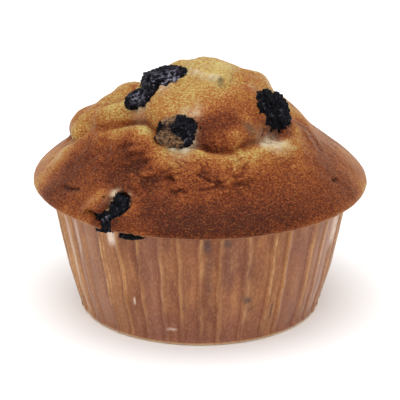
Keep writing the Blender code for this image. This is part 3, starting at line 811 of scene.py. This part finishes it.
def crust_finish():
    finish, tree, shader = new_finish("crust", 0.5, 0.05)
    shader.inputs["Sheen Weight"].default_value = 0.45
    shader.inputs["Sheen Roughness"].default_value = 0.28
    shader.inputs["Sheen Tint"].default_value = (1.0, 0.7, 0.46, 1)
    patchy = pattern(tree, "ShaderNodeTexNoise", 90, 3.0)
    mottle = pattern(tree, "ShaderNodeTexNoise", 300, 4.0, (1, 1, 1.6))
    grain = pattern(tree, "ShaderNodeTexNoise", 1500, 3.0, (1, 1, 1.9))
    beads = pattern(tree, "ShaderNodeTexVoronoi", 2300)
    baked = kept(tree, "browning_and_painted_light")
    for texture, amount in ((patchy, 0.12), (mottle, 0.15), (grain, 0.57), (beads, 0.24)):
        baked = arithmetic(tree, "MULTIPLY_ADD", arithmetic(tree, "SUBTRACT", texture, 0.5), amount, baked)
    ramp = new_tree_node(tree, "ShaderNodeValToRGB")
    tree.links.new(baked, ramp.inputs["Fac"])
    steps = ((0.0, (232, 212, 168)), (0.12, (208, 186, 136)), (0.25, (188, 166, 108)), (0.37, (172, 153, 92)),
             (0.48, (158, 126, 70)), (0.60, (146, 90, 44)), (0.71, (126, 67, 33)), (0.82, (99, 46, 23)),
             (1.0, (60, 26, 16)))
    marks_along = ramp.color_ramp.elements
    while len(marks_along) < len(steps):
        marks_along.new(0.5)
    for mark, (at, colour) in zip(marks_along, steps):
        mark.position = at
        mark.color = (*linear(*colour), 1)
    # painted glints: small orange highlights speckled into the colour
    glints = pattern(tree, "ShaderNodeTexNoise", 1900, 2.0, (1, 1, 2.2))
    colour = blend(tree, between_limits(tree, glints, 0.58, 0.7, 0, 0.2), ramp.outputs["Color"],
                   linear(200, 138, 78))
    torn = pattern(tree, "ShaderNodeTexNoise", 900, 3.0)
    bare = arithmetic(tree, "MULTIPLY", kept(tree, "crumb"), between_limits(tree, torn, 0.34, 0.52, 0.3, 1))
    colour = blend(tree, bare, colour, linear(192, 176, 148))
    # juice stains, with painted shade under and beside the berries
    juice_and_shade_share = arithmetic(tree, "MULTIPLY", kept(tree, "juice_and_shade"), between_limits(tree, torn, 0.7, 0.48))
    colour = blend(tree, juice_and_shade_share, colour, linear(84, 70, 54))
    tree.links.new(colour, shader.inputs["Base Color"])
    relief = arithmetic(tree, "MULTIPLY_ADD", mottle, 1.2, grain)
    bumpy(tree, shader, relief, 0.6, 0.35 * MM)
    return finish


directions, cake_faces, rim = dome_grid(CROWN_CELLS)
fold_lines = {}
crown = crown_surface(directions, fold_lines)
sag = LIP_SAG * np.clip(crown[:, 0] / (CROWN_PROFILE[-1][0] * MM), 0, 1) ** 2
crown[:, 2] -= sag * np.clip((SAG_START - crown[:, 2]) / SAG_RUN, 0, 1)
cake_points = list(crown)
round_angles = [math.atan2(crown[i][1], crown[i][0]) for i in rim]
lip_reach = [math.hypot(crown[i][0], crown[i][1]) - CROWN_PROFILE[-1][0] * MM for i in rim]
lip_sag = [sag[i] for i in rim]
inset = PLEAT_DEPTH + PAPER + GAP
under_lip = [(r * MM, z * MM, 1.0) for r, z in LIP_UNDERSIDE]
in_case = [(CASE_TOP_RADIUS + GAP, CASE_HEIGHT + GAP, 0.0), (CASE_TOP_RADIUS - inset, CASE_HEIGHT + GAP, 0.0),
           (CASE_BASE_RADIUS - inset, CASE_CORNER, 0.0),
           (CASE_BASE_RADIUS - inset - CASE_CORNER, PAPER + GAP, 0.0)]
for radius, height, follow in under_lip + in_case:
    ring = range(len(cake_points), len(cake_points) + len(rim))
    cake_points += [((radius + follow * more) * math.cos(a), (radius + follow * more) * math.sin(a),
                     height - follow * lower) for a, more, lower in zip(round_angles, lip_reach, lip_sag)]
    cake_faces += ring_faces(rim, ring)
    rim = ring
cake_faces.append(tuple(reversed(rim)))
crust = crust_finish()
cake = new_piece("cake_crust", cake_points, cake_faces, crust)
cake_points = np.array(cake_points)
browning_and_painted_light = np.interp(cake_points[:, 2] / MM, *zip(*BROWN_BY_HEIGHT)) + patches(cake_points, BROWNING_AND_PAINTED_LIGHT)
# the skirt's rolled edge opened late and stayed gold, less so on the far left
outside = fold_lines["skirt"] - GOLD_INWARDS
gold = np.exp(-(outside / np.where(outside > 0, GOLD_OUTWARDS, GOLD_INWARDS)) ** 2)
gold *= GOLD * np.clip((crown[:, 0] + 24 * MM) / (7 * MM), 0.3, 1)
# painted shade in the folds, wrinkles and low cracks, and painted highlight on the wrinkles' crests
fold_shade = np.exp(-((fold_lines["middle"] + 0.1 * MM) / (0.5 * MM)) ** 2) * (crown[:, 0] < -8 * MM)
browning_and_painted_light[:len(crown)] += 0.2 * fold_lines["wrinkles"] - 0.16 * fold_lines["crests"] + 0.16 * fold_shade - gold
browning_and_painted_light[:len(crown)] += 0.2 * fold_lines["cracks"] * (crown[:, 2] < 45 * MM)
# bare crumb shows most close beside a berry
beside_berry = np.ones(len(cake_points))
beside_berry[:len(crown)] = 0.3 + 1.2 * np.exp(-((fold_lines["berry"] - 0.3 * MM) / (0.9 * MM)) ** 2)
store_value(cake.data, "browning_and_painted_light", browning_and_painted_light)
bared = patches(cake_points, CRUMB) * beside_berry + patches(cake_points, BARE)
store_value(cake.data, "crumb", np.clip(bared, 0, 1))
store_value(cake.data, "juice_and_shade", np.clip(patches(cake_points, JUICE_AND_SHADE), 0, 1))
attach(cake, "root")
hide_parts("cake")

# ---- the berries --------------------------------------------------------------------------------
# Six whole dark berries that rose with the batter and dried in the oven: the skins have sunk in between their
# seeds, and a little batter clings to them. Fine highlights are painted along the crests of their creases. Each
# sits in its own torn pocket in the crust.
# Batter smeared over a berry, and pale bloom left on its skin: berry, place, radius and strength.
BATTER = {
    "berry_middle": ((-8.2, -22.8, 50.8, 2.6, 2.0), (-5.6, -23.4, 49.8, 2.0, 1.4),
                     (-7.6, -20.2, 55.2, 2.0, 2.0)),
    "berry_right": ((14.6, -12.0, 49.8, 1.6, 0.6),),
    "berry_lower_left": ((-22.0, -32.2, 36.6, 1.0, 0.8),),
}
BLOOM = {
    "berry_top_large": ((-10.0, -8.0, 58.0, 4.0, 0.9), (-6.0, -7.0, 60.5, 3.0, 0.6)),
    "berry_top_small": ((-15.0, -12.5, 58.0, 2.0, 0.7),),
    "berry_right": ((18.6, -12.6, 53.4, 1.6, 0.5),),
    "berry_middle": ((-3.5, -23.0, 51.5, 1.2, 0.7),),
    "berry_lower_left": ((-22.8, -33.4, 35.4, 1.1, 1.0),),
}


def spots(points, places):
    """How strongly each point lies in round spots of (x, y, z, radius, strength), in millimetres."""
    total = np.zeros(len(points))
    for x, y, z, radius, strength in places:
        away = np.linalg.norm(points / MM - (x, y, z), axis=1)
        total += strength * np.exp(-(away / radius) ** 2 * 1.5)
    return np.clip(total, 0, 1)


def berry_finish():
    finish, tree, shader = new_finish("berry skin", 0.32, 0.06)
    folds = pattern(tree, "ShaderNodeTexNoise", 420, 5.0)
    flecks = pattern(tree, "ShaderNodeTexNoise", 1500, 3.0)
    colour = blend(tree, between_limits(tree, folds, 0.5, 0.7, 0, 0.6), linear(6, 6, 10), linear(28, 26, 36))
    # painted highlights: pale flecks along the crests of the skin's creases
    crest = arithmetic(tree, "ABSOLUTE", arithmetic(tree, "SUBTRACT", folds, 0.53))
    crest_glints = arithmetic(tree, "MULTIPLY", between_limits(tree, crest, 0.03, 0.0),
                       between_limits(tree, flecks, 0.55, 0.65, 0, 0.25))
    colour = blend(tree, crest_glints, colour, linear(140, 138, 156))
    dusty = arithmetic(tree, "MULTIPLY", kept(tree, "bloom"), between_limits(tree, crest, 0.07, 0.01))
    dusty = arithmetic(tree, "MULTIPLY", dusty, between_limits(tree, flecks, 0.38, 0.55))
    colour = blend(tree, dusty, colour, linear(158, 154, 172))
    crumbs = blend(tree, between_limits(tree, flecks, 0.4, 0.6), linear(58, 44, 36), linear(140, 106, 76))
    thin = arithmetic(tree, "ADD", kept(tree, "batter"), arithmetic(tree, "SUBTRACT", folds, 0.5))
    colour = blend(tree, between_limits(tree, thin, 0.35, 0.6), colour, crumbs)
    tree.links.new(colour, shader.inputs["Base Color"])
    bumpy(tree, shader, arithmetic(tree, "MULTIPLY_ADD", folds, 2.0, flecks), 0.8, 0.5 * MM)
    return finish


skin = berry_finish()
for name, (centre, half_sizes, turns, taper, seed) in BERRIES.items():
    ball = bmesh.new()
    bmesh.ops.create_icosphere(ball, subdivisions=6, radius=1.0)
    shift = Vector((seed, 2.0 * seed, -seed))
    for vertex in ball.verts:
        spot = vertex.co.copy()
        # soft lumps, and creases where the skin sank in between the seeds
        wrinkle = (1.1 + 0.13 * noise.noise(spot * 1.7 + shift) + 0.05 * noise.noise(spot * 4.0 + shift)
                   - 0.24 * abs(noise.noise(spot * 2.4 - shift)) - 0.2 * abs(noise.noise(spot * 5.5 + shift))
                   + 0.08 * noise.noise(spot * 12.0 + shift))
        slim = 1 - taper * max(spot.x, 0) ** 1.5
        vertex.co = Vector([spot[k] * half_sizes[k] * MM * wrinkle * (slim if k else 1) for k in range(3)])
    ball.transform(Euler([math.radians(turn) for turn in turns]).to_matrix().to_4x4())
    skin_points = np.array([vertex.co for vertex in ball.verts])
    skin_middle = Vector((skin_points.min(0) + skin_points.max(0)) / 2)
    ball.transform(Matrix.Translation(Vector(centre) * MM - skin_middle))
    mesh = bpy.data.meshes.new(name + "_skin")
    ball.to_mesh(mesh)
    ball.free()
    mesh.materials.append(skin)
    mesh.shade_smooth()
    skin_points = np.array([vertex.co for vertex in mesh.vertices])
    for kind, places in (("batter", BATTER), ("bloom", BLOOM)):
        store_value(mesh, kind, spots(skin_points, places.get(name, ())))
    berry = bpy.data.objects.new(name + "_skin", mesh)
    bpy.context.scene.collection.objects.link(berry)
    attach(berry, "root")
    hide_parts(name)
